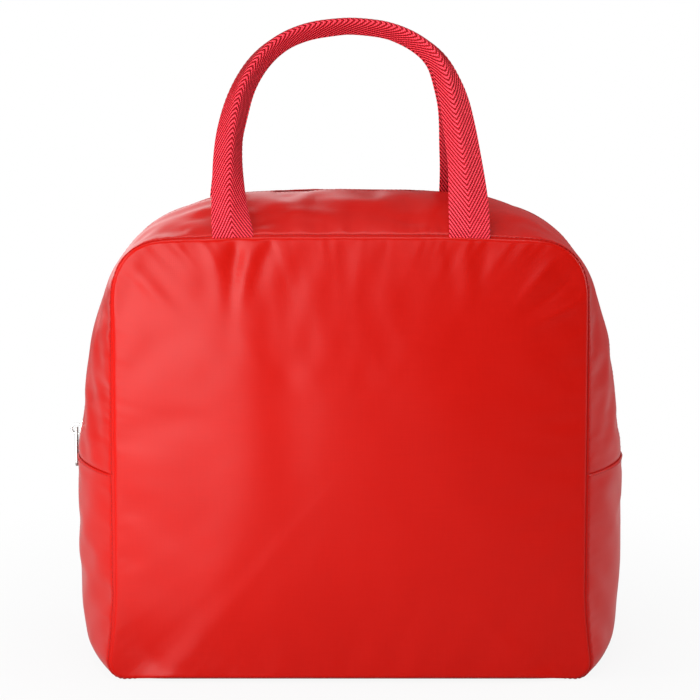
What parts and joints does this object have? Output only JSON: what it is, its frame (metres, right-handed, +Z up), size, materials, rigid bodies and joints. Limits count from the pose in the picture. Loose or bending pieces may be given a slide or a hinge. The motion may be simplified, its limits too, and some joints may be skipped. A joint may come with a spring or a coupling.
{
  "type": "lunch box",
  "caption": "Soft insulated lunch bag with a rounded square front, swelling gusset, zip round the top and two folded webbing handles that meet above it.",
  "frame": {"origin": "middle of the base, on the floor", "axes": "+Z up, +X to the right seen from the front, -Y out of the front panel"},
  "size_m": [0.2895, 0.1438, 0.3324],
  "materials": {
    "red_cloth": "smooth plain-woven polyester with a soft sheen",
    "foam": "closed-cell foam sheet",
    "foil_lining": "foil-faced film, satin",
    "binding_tape": "woven ribbon",
    "zip_tape": "woven tape with nylon coil",
    "webbing": "herringbone polypropylene webbing",
    "nickel": "nickel plate, slightly worn"
  },
  "bodies": {
    "lower_body": {"lower_gusset_cloth": "red_cloth", "lower_gusset_foam": "foam", "lower_gusset_lining": "foil_lining", "front_panel_lower_cloth": "red_cloth", "front_panel_lower_foam": "foam", "front_panel_lower_lining": "foil_lining", "rear_panel_lower_cloth": "red_cloth", "rear_panel_lower_foam": "foam", "rear_panel_lower_lining": "foil_lining", "front_binding_lower": "binding_tape", "rear_binding_lower": "binding_tape"},
    "front_mouth": {"front_panel_upper_cloth": "red_cloth", "front_panel_upper_foam": "foam", "front_panel_upper_lining": "foil_lining", "front_top_gusset_cloth": "red_cloth", "front_top_gusset_foam": "foam", "front_top_gusset_lining": "foil_lining", "front_zip_tape": "zip_tape", "front_zip_coil": "zip_tape", "front_binding_upper": "binding_tape"},
    "rear_mouth": {"rear_panel_upper_cloth": "red_cloth", "rear_panel_upper_foam": "foam", "rear_panel_upper_lining": "foil_lining", "rear_top_gusset_cloth": "red_cloth", "rear_top_gusset_foam": "foam", "rear_top_gusset_lining": "foil_lining", "rear_zip_tape": "zip_tape", "rear_zip_coil": "zip_tape", "rear_binding_upper": "binding_tape"},
    "front_handle": {"front_handle": "webbing"},
    "rear_handle": {"rear_handle": "webbing"},
    "slider": {"zip_slider": "nickel"},
    "puller": {"zip_puller": "nickel"}
  },
  "joints": [
    {"name": "front_mouth_fold", "type": "hinge", "parent": "lower_body", "child": "front_mouth", "pos_m": [0, -0.0722, 0.104], "axis": [1, 0, 0], "range_deg": [0, 25]},
    {"name": "rear_mouth_fold", "type": "hinge", "parent": "lower_body", "child": "rear_mouth", "pos_m": [0, 0.0722, 0.104], "axis": [-1, 0, 0], "range_deg": [0, 25]},
    {"name": "front_handle_swing", "type": "hinge", "parent": "front_mouth", "child": "front_handle", "pos_m": [0, -0.0669, 0.221], "axis": [1, 0, 0], "range_deg": [0, 195]},
    {"name": "rear_handle_swing", "type": "hinge", "parent": "rear_mouth", "child": "rear_handle", "pos_m": [0, 0.0669, 0.221], "axis": [-1, 0, 0], "range_deg": [0, 195]},
    {"name": "zip_slide", "type": "slide", "parent": "front_mouth", "child": "slider", "axis": [0.1253, 0, 0.9921], "range_m": [0, 0.045], "deforming": ["front_zip_coil", "rear_zip_coil"]},
    {"name": "puller_swing", "type": "hinge", "parent": "slider", "child": "puller", "pos_m": [-0.14402, 0, 0.11592], "axis": [0, 1, 0], "range_deg": [0, 170]}
  ]
}
